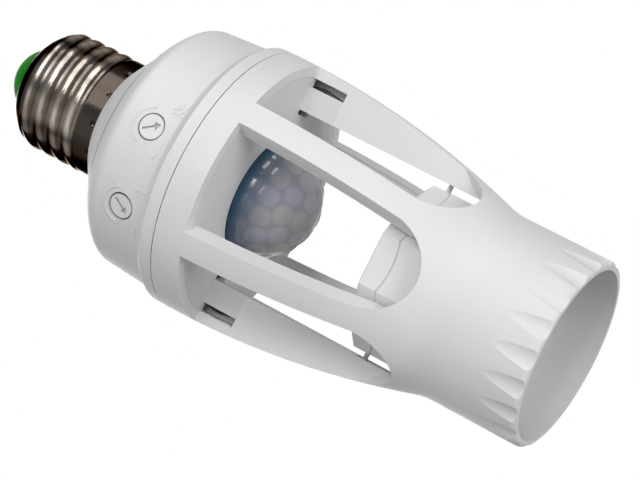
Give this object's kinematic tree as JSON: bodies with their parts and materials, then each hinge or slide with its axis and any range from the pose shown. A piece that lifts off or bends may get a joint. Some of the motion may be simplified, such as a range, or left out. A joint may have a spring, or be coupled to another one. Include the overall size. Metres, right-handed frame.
{
  "type": "motion sensor lamp holder",
  "caption": "Screw-in lamp holder adaptor with a domed motion sensor inside a windowed cage, a round control drum with turning dials and a fluted lamp cup.",
  "frame": {"origin": "centre of the cup's mouth rim, at the bottom", "axes": "+Z along the adaptor's axis towards the screw cap; -Y through the middle of the front window, below the lux dial; +X and -X through the two wire ducts"},
  "size_m": [0.0575, 0.0574, 0.1347],
  "materials": {
    "white_plastic": "satin moulded, faint speckle",
    "inner_plastic": "satin grey-white moulded",
    "nickel": "rolled nickel plate",
    "green_insulator": "glossy green",
    "tin": "dull tinned",
    "lens_plastic": "translucent milky blue-grey",
    "board_laminate": "green lacquer",
    "relay_case": "blue",
    "film_case": "yellow",
    "black_case": "black epoxy",
    "capacitor_sleeve": "black sleeve",
    "trimmer_case": "blue",
    "sensor_can": "drawn steel",
    "red_wire": "red PVC",
    "white_wire": "white PVC",
    "black_wire": "black PVC",
    "brass": "plain brass",
    "steel": "zinc plated"
  },
  "bodies": {
    "holder": {"lamp_cage": "white_plastic", "upper_housing": "white_plastic", "sensor_plate": "inner_plastic", "sensor_lens": "lens_plastic", "screw_shell": "nickel", "cap_insulator": "green_insulator", "cap_contact": "tin", "socket_body": "white_plastic", "socket_cap": "white_plastic", "cap_screws": "steel", "socket_shell": "nickel", "centre_contact": "brass", "shell_terminal": "brass", "contact_rivets": "brass", "control_board": "board_laminate", "board_screws": "steel", "pir_sensor": "sensor_can", "light_sensor": "black_case", "relay": "relay_case", "film_capacitor": "film_case", "sensor_chip": "black_case", "smoothing_capacitor": "capacitor_sleeve", "load_resistor": "black_case", "lux_trimmer": "trimmer_case", "time_trimmer": "trimmer_case", "live_lead": "red_wire", "neutral_lead": "white_wire", "duct_wire_right": "black_wire", "duct_wire_left": "black_wire"},
    "lux_knob": {"lux_dial": "white_plastic"},
    "time_knob": {"time_dial": "white_plastic"}
  },
  "joints": [
    {"name": "lux_turn", "type": "hinge", "parent": "holder", "child": "lux_knob", "pos_m": [0.00307, -0.02431, 0.0885], "axis": [0.1253, -0.9921, 0], "range_deg": [0, 270]},
    {"name": "time_turn", "type": "hinge", "parent": "holder", "child": "time_knob", "pos_m": [-0.01221, -0.02124, 0.0885], "axis": [-0.4985, -0.8669, 0], "range_deg": [-260, 0]}
  ]
}
